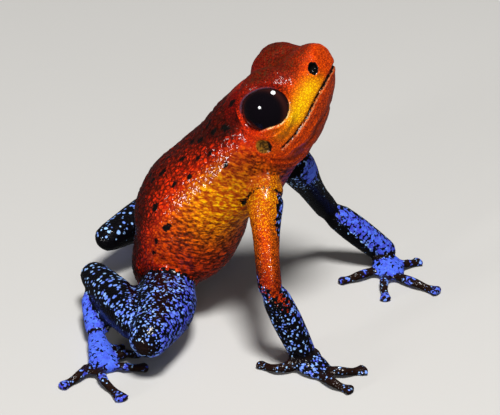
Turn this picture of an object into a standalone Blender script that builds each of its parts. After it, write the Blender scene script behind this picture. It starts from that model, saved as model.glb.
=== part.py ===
"""A strawberry poison dart frog, life size, sitting upright on its arms with its hind legs folded.

The frog faces -Y, its left is +X, and it rests on the plane z = 0. Every size and place below is in
millimetres, and the lofts, balls and rings turn them into metres. A body part that grows from another
is modelled with its root inside it. The root is then cut away to leave a gap between the two faces.
"""

import itertools
import math

import bmesh
import bpy
from mathutils import Matrix, Vector

MM = 0.001
# Gap between two parts, and the distance within which a cut mesh's points are made one
GAP = 0.3
WELD = 0.0015
MODEL = "strawberry_poison_dart_frog"
SIDES = (("right", -1), ("left", 1))

# The middle of the frog's own box on the plane that it sits on
CENTRE = (-0.05, -1.25)

# Trunk sections from the rump up to the neck: place behind, height, half width, half height
TRUNK = (
    (5.30, 0.95, 1.50, 1.20),
    (4.95, 2.00, 2.55, 2.10),
    (4.38, 3.66, 3.35, 2.68),
    (3.50, 5.40, 3.85, 3.48),
    (2.85, 7.50, 4.05, 3.66),
    (1.58, 9.35, 3.90, 3.24),
    (0.05, 10.85, 3.65, 3.30),
    (-0.95, 12.45, 3.40, 3.20),
)
RUMP_END = 0.55

# The head has its own frame: its origin at the nape's level on the trunk's axis, pitched up
HEAD_ORIGIN = (-1.90, 13.80)
HEAD_PITCH = 53.5
# How far the head is turned to its own right
HEAD_YAW = 8.0
# Head sections from the jaw angle to the snout: place ahead, height of the middle, half width, half height
HEAD = (
    (0.30, -0.08, 3.25, 3.10),
    (1.60, -0.15, 3.22, 2.85),
    (2.90, -0.06, 2.98, 2.46),
    (4.20, 0.10, 2.50, 2.05),
    (5.25, 0.26, 2.00, 1.63),
    (5.96, 0.26, 1.56, 1.31),
    (6.40, 0.18, 1.05, 0.95),
)
SNOUT_END = 0.16
ROOF_TAPER = 0.16
BODY_SQUARENESS = 2.25
# Where head and trunk part, and the gap there, counted in rows
NECK = 7.45
NECK_GAP = 0.17

# Eye: an eyeball a little flatter than a ball, and the lids round its opening
EYE = (2.36, 0.94, 1.95)
EYE_AXIS = (0.16, 0.22, 1.00)
EYE_RADIUS = 1.60
EYE_DEPTH = 1.40
BROW = (2.80, 1.40, 1.92)
BROW_RADIUS = 2.08
BROW_DEPTH = 1.40
# How far the smoothing round the brow reaches, in its radii, and how strong each of its rounds is
BROW_REACH = 1.35
BROW_SMOOTHING = 0.3
LID_RADIUS = 1.74
LID_HEIGHT = 0.82
LID_THICKNESS = 0.22

# Mouth line in the head's frame, from the snout's tip to the angle of the jaw
MOUTH = ((7.4, -0.62), (6.3, -0.70), (4.9, -0.92), (3.6, -1.24), (2.4, -1.36), (1.2, -1.30))
MOUTH_WIDTH = 0.16
MOUTH_DEPTH = 0.30
MOUTH_BLADE = 5.0
NOSTRIL = (6.18, 0.40, 1.30)
NOSTRIL_RADIUS = 0.34
TYMPANUM = (0.52, -0.42, 3.27)
TYMPANUM_RADIUS = 0.46
TYMPANUM_GROOVE = 0.09

# Bone lengths, alike on both sides
UPPER_ARM = 5.6
FOREARM = 5.2
THIGH = 8.0
SHANK = 9.4
TARSUS = 4.7
METATARSUS = 3.8

# Arms, from the wrist up: where the wrist is, and the way to the elbow and on to the shoulder
ARMS = {
    "right": ((-6.56, -5.29, 0.95), (-0.20, 2.10, 4.75), (3.45, 0.85, 4.25)),
    "left": ((7.62, -8.20, 0.95), (-1.05, 3.70, 3.45), (-3.70, 1.30, 5.00)),
}
# Half width and half height at the shoulder, the middle and the elbow, and on to the wrist
UPPER_ARM_SHAPE = ((1.16, 1.08), (0.90, 0.87), (0.68, 0.66))
# How deep the arm's root is sunk past the shoulder joint before the trunk cuts it
SHOULDER_SINK = 1.2
FOREARM_SHAPE = ((0.72, 0.70), (0.86, 0.84), (0.80, 0.70))
# Palm: half width and half height at the wrist, the middle and the front
PALM_SHAPE = ((0.66, 0.62), (1.02, 0.56), (0.86, 0.40))
PALM_FRONTS = {"right": (-7.45, -6.75, 0.34), "left": (5.75, -9.25, 0.34)}
PALM_DROP = 0.25

# Hind legs, from the ankle: where the ankle is, then the way to knee, hip, tarsal joint and toe roots
LEGS = {
    "right": (
        (-1.75, 9.20, 2.40),
        (-7.55, -5.25, 0.40),
        (7.50, 0.50, -0.25),
        (-4.30, -0.95, -1.35),
        (-3.55, -1.50, -0.72),
    ),
    "left": (
        (2.35, 9.20, 3.05),
        (8.00, -4.10, -0.15),
        (-8.00, -0.90, -0.10),
        (4.20, -0.80, -2.10),
        (3.50, -1.45, -0.68),
    ),
}
THIGH_SHAPE = ((1.60, 1.60), (2.05, 1.85), (1.35, 1.35))
THIGH_BOW = (0.0, -0.30, 0.0)
SHANK_SHAPE = ((1.05, 1.05), (1.45, 1.42), (0.98, 0.92))
TARSUS_SHAPE = ((0.62, 0.62), (0.52, 0.50), (0.58, 0.52))
TARSUS_BOW = (0.0, 0.35, 0.0)
METATARSUS_SHAPE = ((0.55, 0.50), (0.72, 0.50), (1.05, 0.42))

# Fingers and toes: root, knuckle and tip on the ground plane, and the width of the disc at the tip
FINGERS = {
    "right": (
        ((-7.20, -4.95), (-7.83, -4.05), (-7.20, -2.80), 0.40),
        ((-6.55, -6.60), (-5.45, -5.95), (-4.60, -4.90), 0.40),
        ((-7.25, -6.60), (-7.43, -8.10), (-6.60, -9.30), 0.56),
        ((-7.75, -6.60), (-8.90, -7.80), (-9.15, -8.85), 0.50),
    ),
    "left": (
        ((6.20, -8.20), (5.00, -7.10), (4.50, -6.05), 0.40),
        ((5.90, -8.80), (4.20, -8.90), (2.75, -9.25), 0.42),
        ((5.70, -9.20), (4.75, -10.90), (4.35, -12.40), 0.56),
        ((6.20, -9.20), (7.20, -9.90), (8.05, -10.60), 0.50),
    ),
}
TOES = {
    "right": (
        ((-8.10, 7.00), (-7.40, 6.70), (-6.80, 6.30), 0.34),
        ((-8.60, 6.60), (-7.90, 5.80), (-7.40, 5.10), 0.38),
        ((-9.10, 6.70), (-9.45, 5.60), (-8.95, 4.30), 0.50),
        ((-9.70, 7.10), (-11.35, 6.40), (-12.85, 4.90), 0.52),
        ((-9.60, 7.60), (-11.05, 8.05), (-12.10, 8.85), 0.42),
    ),
    "left": (
        ((8.10, 7.50), (7.40, 6.90), (6.90, 6.30), 0.34),
        ((8.60, 7.10), (8.10, 5.90), (7.70, 4.90), 0.38),
        ((9.10, 7.20), (9.45, 5.80), (9.20, 4.30), 0.50),
        ((9.70, 7.60), (11.40, 6.60), (12.70, 4.90), 0.52),
        ((9.60, 8.10), (11.05, 8.30), (12.30, 8.60), 0.42),
    ),
}
DIGIT_ROOT = 0.40
DIGIT_MIDDLE = 0.30
DIGIT_NECK = 0.26
DIGIT_ARCH = 0.46
DISC_HEIGHT = 0.26
NECK_PLACE = 0.55
NECK_RISE = 0.04
# How deep a digit is pressed into the plane of rest
TREAD = 0.05

# Angles of the rings that round a limb's root and its tip
ROOT_ROUND = 0.9
TIP_ROUND = (0.5, 0.95, 1.35)
BODY_ROUND = (0.5, 1.0, 1.35)

# Ways to split a cut mesh's faces, each tried until no edge is shared by more than two
TRIANGULATIONS = (("BEAUTY", "BEAUTY"), ("SHORT_EDGE", "EAR_CLIP"), ("LONG_EDGE", "EAR_CLIP"))

# Points round the lofts, rings and balls, and the sections along a loft
BODY_SIDES = 32
LIMB_SIDES = 14
DIGIT_SIDES = 8
BODY_STEPS = 20
THICK_STEPS = 10
THIN_STEPS = 6
LIMB_STEPS = 8
EYE_SIDES = (20, 12)
SOCKET_SIDES = (20, 10)
NOSTRIL_SIDES = (10, 6)
LID_SIDES = (20, 6)
TYMPANUM_SIDES = (14, 5)
# Stretch of the trunk's axis, in rows, over which its direction is measured
AXIS_STEP = 0.05


# Meshes by the names of their parts, filled by whole
whole_forms = {}


def start_clean():
    for obj in list(bpy.data.objects):
        bpy.data.objects.remove(obj, do_unlink=True)


def collection(name):
    made = bpy.data.collections.new(name)
    bpy.context.scene.collection.children.link(made)
    return made


def linear(hex_colour):
    channels = [int(hex_colour[i : i + 2], 16) / 255 for i in (0, 2, 4)]
    return [c / 12.92 if c <= 0.04045 else ((c + 0.055) / 1.055) ** 2.4 for c in channels]


def material(name, hex_colour, roughness):
    made = bpy.data.materials.new(name)
    made.use_nodes = True
    shader = made.node_tree.nodes["Principled BSDF"]
    shader.inputs["Base Color"].default_value = (*linear(hex_colour), 1.0)
    shader.inputs["Roughness"].default_value = roughness
    shader.inputs["Metallic"].default_value = 0.0
    return made


def between(rows, place):
    """A row read off a smooth curve through the rows, place counting rows from the first."""
    last = len(rows) - 1
    i = min(int(place), last - 1)
    t = place - i
    before, start = rows[max(i - 1, 0)], rows[i]
    end, after = rows[i + 1], rows[min(i + 2, last)]
    return tuple(
        0.5 * (2 * b + (c - a) * t + (2 * a - 5 * b + 4 * c - d) * t**2 + (3 * b - a - 3 * c + d) * t**3)
        for a, b, c, d in zip(before, start, end, after)
    )


def section(middle, side, up, half_width, half_height, count, squareness=2.0, taper=0.0):
    """A ring of points round a middle: an ellipse, squarer as asked, and narrower above by the taper."""
    ring = []
    for k in range(count):
        angle = 2 * math.pi * k / count
        c, s = math.cos(angle), math.sin(angle)
        across = math.copysign(abs(c) ** (2 / squareness), c) * (1 - taper * max(s, 0.0))
        along = math.copysign(abs(s) ** (2 / squareness), s)
        ring.append(middle + side * (half_width * across) + up * (half_height * along))
    return ring


def loft(name, rings):
    """A closed body through rings of like counts, as a mesh object in metres."""
    bm = bmesh.new()
    rows = [[bm.verts.new(p * MM) for p in ring] for ring in rings]
    count = len(rows[0])
    for low, high in zip(rows, rows[1:]):
        for k in range(count):
            n = (k + 1) % count
            bm.faces.new((low[k], low[n], high[n], high[k]))
    bm.faces.new(reversed(rows[0]))
    bm.faces.new(rows[-1])
    bmesh.ops.recalc_face_normals(bm, faces=bm.faces)
    return mesh_object(name, bm)


def mesh_object(name, bm):
    """An object from a bmesh, in triangles, which leave a Boolean no wide face to split badly."""
    bmesh.ops.triangulate(bm, faces=bm.faces)
    mesh = bpy.data.meshes.new(name)
    bm.to_mesh(mesh)
    bm.free()
    obj = bpy.data.objects.new(name, mesh)
    bpy.context.scene.collection.objects.link(obj)
    return obj


def tube(name, points, shape, sides, steps, hint):
    """A limb's length: a loft along a smooth path, its section read off the shape, with rounded ends."""
    rows = [(*p, *s) for p, s in zip(points, shape)]
    last = len(rows) - 1
    samples = [between(rows, last * k / steps) for k in range(steps + 1)]
    middles = [Vector(s[:3]) for s in samples]
    rings = []
    for k, sample in enumerate(samples):
        tangent = (middles[min(k + 1, steps)] - middles[max(k - 1, 0)]).normalized()
        side = tangent.cross(Vector(hint)).normalized()
        up = side.cross(tangent)
        width, height = sample[3:5]
        ends = [(0.0, 1.0)]
        if k == 0:
            ends.insert(0, (-math.sin(ROOT_ROUND) * height, math.cos(ROOT_ROUND)))
        if k == steps:
            ends += [(math.sin(a) * height, math.cos(a)) for a in TIP_ROUND]
        for shift, share in ends:
            middle = middles[k] + tangent * shift
            rings.append(section(middle, side, up, width * share, height * share, sides))
    return loft(name, rings)


def largest_surface(mesh, way):
    """Welds and triangulates a mesh, keeps its largest surface, and says if that is closed."""
    bm = bmesh.new()
    bm.from_mesh(mesh)
    bmesh.ops.remove_doubles(bm, verts=bm.verts, dist=WELD * MM)
    bmesh.ops.dissolve_degenerate(bm, dist=WELD * MM, edges=bm.edges)
    bmesh.ops.triangulate(bm, faces=bm.faces, quad_method=way[0], ngon_method=way[1])
    left = set(bm.faces)
    parts = []
    while left:
        part, edge = set(), [left.pop()]
        while edge:
            face = edge.pop()
            part.add(face)
            near = {f for e in face.edges for f in e.link_faces} & left
            left -= near
            edge.extend(near)
        parts.append(part)
    parts.sort(key=len, reverse=True)
    loose = [f for part in parts[1:] for f in part]
    bmesh.ops.delete(bm, geom=loose, context="FACES")
    closed = bool(bm.faces) and all(len(e.link_faces) == 2 for e in bm.edges)
    bm.to_mesh(mesh)
    bm.free()
    return closed


def boolean(obj, others, operation):
    """Joins the others to the object or cuts them from it, applied, and removes the others."""
    group = bpy.data.collections.new("operands")
    for other in others:
        group.objects.link(other)
    modifier = obj.modifiers.new("boolean", "BOOLEAN")
    modifier.operation = operation
    modifier.operand_type = "COLLECTION"
    modifier.collection = group
    for solver, way in itertools.product(("EXACT", "MANIFOLD"), TRIANGULATIONS):
        modifier.solver = solver
        evaluated = obj.evaluated_get(bpy.context.evaluated_depsgraph_get())
        made = bpy.data.meshes.new_from_object(evaluated)
        if largest_surface(made, way):
            break
    else:
        raise ValueError(f"{obj.name} isn't closed after {operation}")
    obj.modifiers.clear()
    obj.data = made
    for other in others:
        bpy.data.objects.remove(other, do_unlink=True)
    bpy.data.collections.remove(group)


def grown(obj, distance):
    """A copy of an object with its surface moved out by the distance, in millimetres."""
    bm = bmesh.new()
    bm.from_mesh(obj.data)
    bm.normal_update()
    for v in bm.verts:
        v.co += v.normal * (distance * MM)
    return mesh_object(obj.name + "_grown", bm)


def whole(obj):
    """Keeps a part's form as it is before any cut, grown by the gap, for cutting its neighbours."""
    form = grown(obj, GAP)
    whole_forms[obj.name] = form.data
    bpy.data.objects.remove(form, do_unlink=True)
    return obj


def clear_of(obj, *neighbours):
    """Cuts an object back until the gap lies between it and its neighbours."""
    for neighbour in neighbours:
        cutter = bpy.data.objects.new("cutter", whole_forms[neighbour.name].copy())
        boolean(obj, [cutter], "DIFFERENCE")


def tread(obj):
    """Presses what reaches below the plane of rest into a small flat on it."""
    for v in obj.data.vertices:
        v.co.z = max(v.co.z, 0.0)


def head_axes():
    """The head's own forward, up and left, as directions."""
    pitch = math.radians(HEAD_PITCH)
    up = Vector((0, math.sin(pitch), math.cos(pitch)))
    turn = Matrix.Rotation(-math.radians(HEAD_YAW), 3, up)
    forward = turn @ Vector((0, -math.cos(pitch), math.sin(pitch)))
    return forward, up, turn @ Vector((1, 0, 0))


def head_point(ahead, height, out=0.0):
    """A place in the head's frame: ahead of its origin, above it and to its left."""
    forward, up, left = head_axes()
    origin = Vector((0, *HEAD_ORIGIN))
    return origin + forward * ahead + up * height + left * out


def body_rows():
    """The sections of trunk and head on one axis: their middle, half width, half height and taper."""
    rows = [(0.0, *row, 0.0) for row in TRUNK]
    for ahead, middle, half_width, half_height in HEAD:
        place = head_point(ahead, middle)
        rows.append((*place, half_width, half_height, ROOF_TAPER))
    return rows


def body_loft(name, first, last, end):
    """A stretch of the trunk and head, from one section's place to another's, closed round or flat."""
    rows = body_rows()
    places = [first + (last - first) * k / BODY_STEPS for k in range(BODY_STEPS + 1)]
    rings = []
    for k, place in enumerate(places):
        *middle, half_width, half_height, taper = between(rows, place)
        middle = Vector(middle)
        low = between(rows, max(place - AXIS_STEP, 0))
        high = between(rows, min(place + AXIS_STEP, len(rows) - 1))
        tangent = (Vector(high[:3]) - Vector(low[:3])).normalized()
        up = Vector((0, tangent.z, -tangent.y)).normalized()
        sizes = [(0.0, 1.0)]
        if (k == 0 and end == "start") or (k == BODY_STEPS and end == "end"):
            depth = -RUMP_END if end == "start" else SNOUT_END
            sizes += [(depth * math.sin(a), math.cos(a)) for a in BODY_ROUND]
        if k == 0:
            sizes.reverse()
        for shift, share in sizes:
            rings.append(
                section(
                    middle + tangent * shift,
                    up.cross(tangent),
                    up,
                    half_width * share,
                    half_height * share,
                    BODY_SIDES,
                    BODY_SQUARENESS,
                    taper,
                )
            )
    return loft(name, rings)


def eye_matrix(sign, radius, depth, middle=EYE):
    """Turns a ball of radius 1 into the eyeball's shape and place, in metres."""
    forward, up, left = head_axes()
    ahead, height, out = middle
    toward = (forward * EYE_AXIS[0] + up * EYE_AXIS[1] + left * EYE_AXIS[2] * sign).normalized()
    turn = Vector((0, 0, 1)).rotation_difference(toward).to_matrix().to_4x4()
    shape = Matrix.Diagonal((radius * MM, radius * MM, depth * MM, 1))
    return Matrix.Translation(head_point(ahead, height, out * sign) * MM) @ turn @ shape


def ball(name, matrix, sides):
    bm = bmesh.new()
    bmesh.ops.create_uvsphere(bm, u_segments=sides[0], v_segments=sides[1], radius=1.0, matrix=matrix)
    return mesh_object(name, bm)


def ring_body(name, matrix, radius, thickness, sides):
    """A closed ring lying across a matrix's z axis; radius and thickness in its units."""
    bm = bmesh.new()
    circle = bmesh.ops.create_circle(bm, segments=sides[1], radius=thickness)
    bmesh.ops.rotate(bm, verts=circle["verts"], cent=(0, 0, 0), matrix=Matrix.Rotation(math.pi / 2, 3, "X"))
    bmesh.ops.translate(bm, verts=circle["verts"], vec=(radius, 0, 0))
    bmesh.ops.spin(
        bm,
        geom=bm.verts[:] + bm.edges[:],
        cent=(0, 0, 0),
        axis=(0, 0, 1),
        angle=2 * math.pi,
        steps=sides[0],
        use_merge=True,
    )
    bmesh.ops.remove_doubles(bm, verts=bm.verts, dist=thickness * 0.01)
    bmesh.ops.transform(bm, verts=bm.verts, matrix=matrix)
    bmesh.ops.recalc_face_normals(bm, faces=bm.faces)
    return mesh_object(name, bm)


def raise_brows(obj):
    """Lifts the head's surface over each eye to a flattened round, and smooths the way out to it."""
    bm = bmesh.new()
    bm.from_mesh(obj.data)
    near = set()
    for _, sign in SIDES:
        shape = eye_matrix(sign, BROW_RADIUS, BROW_DEPTH, BROW)
        inside = shape.inverted()
        for v in bm.verts:
            local = inside @ v.co
            if local.length < 1:
                v.co = shape @ local.normalized()
            if local.length < BROW_REACH:
                near.add(v)
    for _ in range(2):
        bmesh.ops.smooth_vert(
            bm,
            verts=list(near),
            factor=BROW_SMOOTHING,
            use_axis_x=True,
            use_axis_y=True,
            use_axis_z=True,
        )
    bm.to_mesh(obj.data)
    bm.free()


def mouth_cutter(head):
    """A thin blade along the mouth line that reaches into the head only by the line's depth."""
    _, up, left = head_axes()
    reach = left * MOUTH_BLADE
    rings = []
    for ahead, height in MOUTH:
        middle = head_point(ahead, height)
        share = 0.5 if (ahead, height) == MOUTH[-1] else 1.0
        lift = up * (MOUTH_WIDTH / 2 * share)
        rings.append([middle + reach + lift, middle - reach + lift, middle - reach - lift, middle + reach - lift])
    blade = loft("mouth_blade", rings)
    boolean(blade, [grown(head, -MOUTH_DEPTH)], "DIFFERENCE")
    return blade


def make_head():
    head = body_loft("head", NECK + NECK_GAP, len(body_rows()) - 1, "end")
    raise_brows(head)
    whole(head)
    blade = mouth_cutter(head)
    lids = []
    sockets = []
    for _, sign in SIDES:
        frame = eye_matrix(sign, 1.0, 1.0)
        lift = Matrix.Translation((0, 0, LID_HEIGHT))
        lids.append(ring_body("lid", frame @ lift, LID_RADIUS, LID_THICKNESS, LID_SIDES))
        sockets.append(ball("socket", eye_matrix(sign, EYE_RADIUS + GAP, EYE_DEPTH + GAP), SOCKET_SIDES))
    boolean(head, lids, "UNION")
    boolean(head, sockets, "DIFFERENCE")
    boolean(head, [blade], "DIFFERENCE")
    pits = []
    for _, sign in SIDES:
        ahead, height, out = NOSTRIL
        place = Matrix.Translation(head_point(ahead, height, out * sign) * MM)
        pits.append(ball("nostril", place @ Matrix.Scale(NOSTRIL_RADIUS * MM, 4), NOSTRIL_SIDES))
        ahead, height, out = TYMPANUM
        facing = Matrix.Rotation(math.pi / 2, 4, "Y")
        place = Matrix.Translation(head_point(ahead, height, out * sign) * MM) @ facing @ Matrix.Scale(MM, 4)
        pits.append(ring_body("tympanum", place, TYMPANUM_RADIUS, TYMPANUM_GROOVE, TYMPANUM_SIDES))
    boolean(head, pits, "DIFFERENCE")
    return head


def joints_of(start, *moves):
    """Joint centres one after another: each move is a way and a length."""
    points = [Vector(start)]
    for way, length in moves:
        points.append(points[-1] + Vector(way).normalized() * length)
    return points


def bone(name, start, end, shape, bow=(0, 0, 0), hint=(0, 0, 1), steps=LIMB_STEPS):
    """A limb's length from joint to joint, bowed at the middle."""
    middle = (start + end) / 2 + Vector(bow)
    return whole(tube(name, (start, middle, end), shape, LIMB_SIDES, steps, hint))


def make_arm(side, torso, head):
    wrist, to_elbow, to_shoulder = ARMS[side]
    wrist, elbow, shoulder = joints_of(wrist, (to_elbow, FOREARM), (to_shoulder, UPPER_ARM))
    root = shoulder + (shoulder - elbow).normalized() * SHOULDER_SINK
    upper = bone(f"upper_arm_{side}", root, elbow, UPPER_ARM_SHAPE, hint=(0, -1, 0))
    clear_of(upper, torso, head)
    fore = bone(f"forearm_{side}", elbow, wrist, FOREARM_SHAPE, hint=(0, -1, 0))
    clear_of(fore, upper)
    front = Vector(PALM_FRONTS[side])
    palm = bone(f"hand_{side}", wrist - Vector((0, 0, PALM_DROP)), front, PALM_SHAPE, steps=THIN_STEPS)
    tread(palm)
    clear_of(palm, fore)
    return [upper, fore, palm]


def make_digit(name, root, knuckle, tip, disc, neighbours):
    """A finger or toe: a low arch from its root to the knuckle and down to the disc at its tip."""
    root, knuckle, tip = (Vector(p) for p in (root, knuckle, tip))
    neck = knuckle.lerp(tip, NECK_PLACE)
    heights = (DIGIT_ROOT - TREAD, DIGIT_ARCH, DIGIT_NECK - TREAD + NECK_RISE, DISC_HEIGHT - TREAD)
    points = [(p.x, p.y, z) for p, z in zip((root, knuckle, neck, tip), heights)]
    shape = (
        (DIGIT_ROOT, DIGIT_ROOT),
        (DIGIT_MIDDLE, DIGIT_MIDDLE),
        (DIGIT_NECK, DIGIT_NECK),
        (disc, DISC_HEIGHT),
    )
    digit = whole(tube(name, points, shape, DIGIT_SIDES, LIMB_STEPS, (0, 0, 1)))
    tread(digit)
    clear_of(digit, *neighbours)
    return digit


def make_digits(stem, side, rows, neighbours):
    made = []
    for number, (root, knuckle, tip, disc) in enumerate(rows, 1):
        name = f"{stem}_{number}_{side}"
        made.append(make_digit(name, root, knuckle, tip, disc, [*neighbours, *made[-1:]]))
    return made


def make_leg(side, torso):
    ankle, to_knee, to_hip, to_tarsal, to_toes = LEGS[side]
    ankle, knee, hip = joints_of(ankle, (to_knee, SHANK), (to_hip, THIGH))
    ankle, tarsal, toes = joints_of(ankle, (to_tarsal, TARSUS), (to_toes, METATARSUS))
    thigh = bone(f"thigh_{side}", hip, knee, THIGH_SHAPE, THIGH_BOW, steps=THICK_STEPS)
    tread(thigh)
    clear_of(thigh, torso)
    shank = bone(f"shank_{side}", knee, ankle, SHANK_SHAPE, steps=THICK_STEPS)
    clear_of(shank, thigh, torso)
    tarsus = bone(f"tarsus_{side}", ankle, tarsal, TARSUS_SHAPE, TARSUS_BOW, steps=THIN_STEPS)
    clear_of(tarsus, shank)
    foot = bone(f"foot_{side}", tarsal, toes, METATARSUS_SHAPE, steps=THIN_STEPS)
    tread(foot)
    clear_of(foot, tarsus, shank)
    return [thigh, shank, tarsus, foot]


def colour_of(name):
    warm = ("head", "torso", "upper")
    if name.startswith("eye"):
        return "eye"
    return "orange skin" if name.startswith(warm) else "blue skin"


def finish(objects):
    """Puts the parts in the model's collection, centred on the plane of rest, with their materials."""
    model = collection(MODEL)
    materials = {
        "orange skin": material("orange skin", "C8501A", 0.35),
        "blue skin": material("blue skin", "3A44A8", 0.40),
        "eye": material("eye", "0A0706", 0.05),
    }
    for obj in objects:
        obj.data.transform(Matrix.Translation(Vector((-CENTRE[0], -CENTRE[1], 0)) * MM))
        obj.data.materials.clear()
        obj.data.materials.append(materials[colour_of(obj.name)])
        obj.data.shade_smooth()
        bpy.context.scene.collection.objects.unlink(obj)
        model.objects.link(obj)


def main():
    start_clean()
    torso = whole(body_loft("torso", 0, NECK, "start"))
    tread(torso)
    head = make_head()
    objects = [torso, head]
    for side, sign in SIDES:
        objects.append(ball(f"eye_{side}", eye_matrix(sign, EYE_RADIUS, EYE_DEPTH), EYE_SIDES))
        upper, fore, palm = make_arm(side, torso, head)
        objects += [upper, fore, palm, *make_digits("finger", side, FINGERS[side], [palm, fore])]
        thigh, shank, tarsus, foot = make_leg(side, torso)
        objects += [thigh, shank, tarsus, foot, *make_digits("toe", side, TOES[side], [foot, thigh])]
    finish(objects)


main()
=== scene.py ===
"""The looks of a life-size strawberry poison dart frog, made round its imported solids.

One skin covers all the parts of flesh, and the eyes are pieces of their own. The frog faces -Y, its left
is +X, and it sits on the plane z = 0. Forms are worked in millimetres and turned into metres at the end.
"""

import math

import bmesh
import bpy
import numpy as np
from mathutils import Matrix, Vector, noise
from mathutils.bvhtree import BVHTree


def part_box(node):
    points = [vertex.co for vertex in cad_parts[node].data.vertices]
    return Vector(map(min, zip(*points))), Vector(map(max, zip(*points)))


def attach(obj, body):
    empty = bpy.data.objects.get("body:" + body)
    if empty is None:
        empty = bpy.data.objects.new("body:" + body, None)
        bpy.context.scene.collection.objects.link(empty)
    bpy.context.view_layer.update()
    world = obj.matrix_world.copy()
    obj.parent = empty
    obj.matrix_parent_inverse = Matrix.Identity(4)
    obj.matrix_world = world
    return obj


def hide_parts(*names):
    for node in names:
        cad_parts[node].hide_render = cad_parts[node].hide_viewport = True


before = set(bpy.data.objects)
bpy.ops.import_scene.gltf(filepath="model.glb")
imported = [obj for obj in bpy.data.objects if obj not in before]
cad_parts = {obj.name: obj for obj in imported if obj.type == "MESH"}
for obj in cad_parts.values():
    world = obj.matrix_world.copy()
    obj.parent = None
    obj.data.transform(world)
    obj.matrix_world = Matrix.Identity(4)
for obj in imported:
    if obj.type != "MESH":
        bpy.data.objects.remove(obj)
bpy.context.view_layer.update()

MM = 0.001
SIDES = (("right", -1), ("left", 1))
EYES = ("eye_right", "eye_left")
NODES = sorted(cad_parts)
FLESH = [name for name in NODES if name not in EYES]

# Camera of the photo: a point on the ground, where it falls in the picture, and the scale there
PICTURE = (500, 415)
GROUND_POINT = Vector((0.05, 1.25, 0.0))
GROUND_PIXEL = (239.0, 308.0)
PIXELS_PER_MM = 15.3
CAMERA_DISTANCE = 220.0
CAMERA_ELEVATION = 28.0
CAMERA_AZIMUTH = -79.0
SENSOR = 36.0

# The head's frame: its origin on the neck's axis, how far it is pitched up and turned to its right
HEAD_ORIGIN = Vector((0.05, -0.65, 13.80))
HEAD_PITCH = 53.5
HEAD_YAW = 8.0

# Skin: grown by more than half the gap between two solids, joined on a grid, and shrunk back
GROWTH = 0.22
GRID = 0.115
SOLID_WELD = 0.002
JOIN_ROUNDS = 6
LIMB_SHARE = 0.30

# Joints of the limbs
ELBOWS = {"right": Vector((-6.71, -1.94, 5.70)), "left": Vector((6.61, -3.23, 4.42))}
SHOULDERS = {"right": Vector((-3.25, -1.09, 9.96)), "left": Vector((3.35, -2.08, 8.83))}
KNEES = {"right": Vector((-9.41, 5.09, 2.81)), "left": Vector((10.77, 6.16, 2.89))}
ANKLES = {"right": Vector((-1.70, 10.45, 2.40)), "left": Vector((2.40, 10.45, 3.05))}

# Trunk: the way from the hips to the neck, the way out of the back, and the way across the belly's wrinkles
TRUNK_WAY = np.array((0.0, -0.57, 0.82))
BACK_WAY = np.array((0.0, 0.82, 0.57))
WRINKLE_WAY = np.array((0.0, -0.20, 0.98))
# Gold of each flank, partly its own colour and partly a painted highlight, and the dark nape beside each eye:
# place and radius
FLANK_GOLD_AND_HIGHLIGHT = (3.71, 1.35, 9.80)
FLANK_GOLD_AND_HIGHLIGHT_RADIUS = 2.60
NAPE = (1.7, 1.0, 14.8)
NAPE_RADIUS = 2.1
# Darkened patch on each side of the neck, between the tympanum and the gold: place and radius
SIDE_NECK = (3.0, 0.70, 12.1)
SIDE_NECK_RADIUS = 2.25
# Blue patch of the far arm, just below its shoulder, and its radius
ARM_PATCH = (2.8, -3.0, 9.2)
ARM_PATCH_RADIUS = 1.2
SHOULDER_SWELL = 0.28
# Crease over the top of an arm: its place along the arm, its drop at the sides, its depth and its width
CREASE_AT = {"right": -0.55, "left": -2.60}
CREASE_DROP = 0.40
CREASE_DEPTH = 0.16
CREASE_WIDTH = 0.15
ARM_RADIUS = 1.1
FOREARM_SWELL = 0.26

# Black flecks on the near side, as pixels of the picture and radii in millimetres
FLECKS = (
    (209, 124, 0.20), (224, 127, 0.17), (213.5, 132, 0.18), (200, 140, 0.20), (192, 142, 0.16),
    (209.5, 153.6, 0.16), (182, 159, 0.17), (198, 158, 0.15), (225.6, 165, 0.15), (189.4, 176, 0.16),
    (163, 172.6, 0.20), (150, 175.4, 0.15), (152.7, 180.6, 0.14), (174.5, 184.6, 0.16),
    (155, 207.6, 0.22), (166.5, 227.7, 0.22), (156, 241, 0.17), (154, 252.4, 0.14), (139, 197, 0.14),
    (168, 157, 0.17), (232, 103, 0.20), (226, 129, 0.18),
)
FAR_FLECKS = 34
FAR_FLECK_RADIUS = (0.12, 0.20)
FLECK_LENGTH = 1.8
FLECK_TILT = math.radians(28)
# The way out of the near flank, which flecks turn round
FLECK_AXIS = Vector((-0.6, 0.82, 0.57))

# Eyeball, and its lids: their thickness, the opening's radius and how much longer than high it is
EYE_AXIS = (0.16, 0.22, 1.00)
EYE_RADIUS = 1.80
EYE_DEPTH = 1.40
LID_THICKNESS = 0.10
LID_OPENING = 1.50
LID_OVAL = 0.11
LID_TILT = math.radians(-20)
# Corner at the back of the opening, where the lower lid cuts across it
LID_CORNER = math.radians(238)
LID_CUT = 0.16
# Dome of skin over the eye, in the eye's frame: its middle and its half sizes, ahead, above and out
BROW_MIDDLE = (0.22, 0.35, -0.15)
BROW_SIZES = (1.98, 1.85, 1.20)

# Mouth line in the head's frame, from the snout's tip to the angle of the jaw: ahead and up
MOUTH = ((7.4, -0.62), (6.3, -0.70), (4.9, -0.92), (3.6, -1.24), (2.4, -1.36), (1.2, -1.30))
# Nostril: its place, half its width, how much longer it is, and the way it points, ahead and up
NOSTRIL = (6.20, 0.40, 1.28)
NOSTRIL_SIZE = 0.33
NOSTRIL_LENGTH = 1.45
NOSTRIL_WAY = (0.79, 0.61)
TYMPANUM = (0.56, -0.34, 3.22)
TYMPANUM_SIZE = 0.54

# Granules of the skin on the back and on the belly: how far apart, how high, and how much longer they are
BACK_GRANULE = (0.38, 0.060, 1.7)
BELLY_GRANULE = (0.56, 0.034, 0.55)
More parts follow.
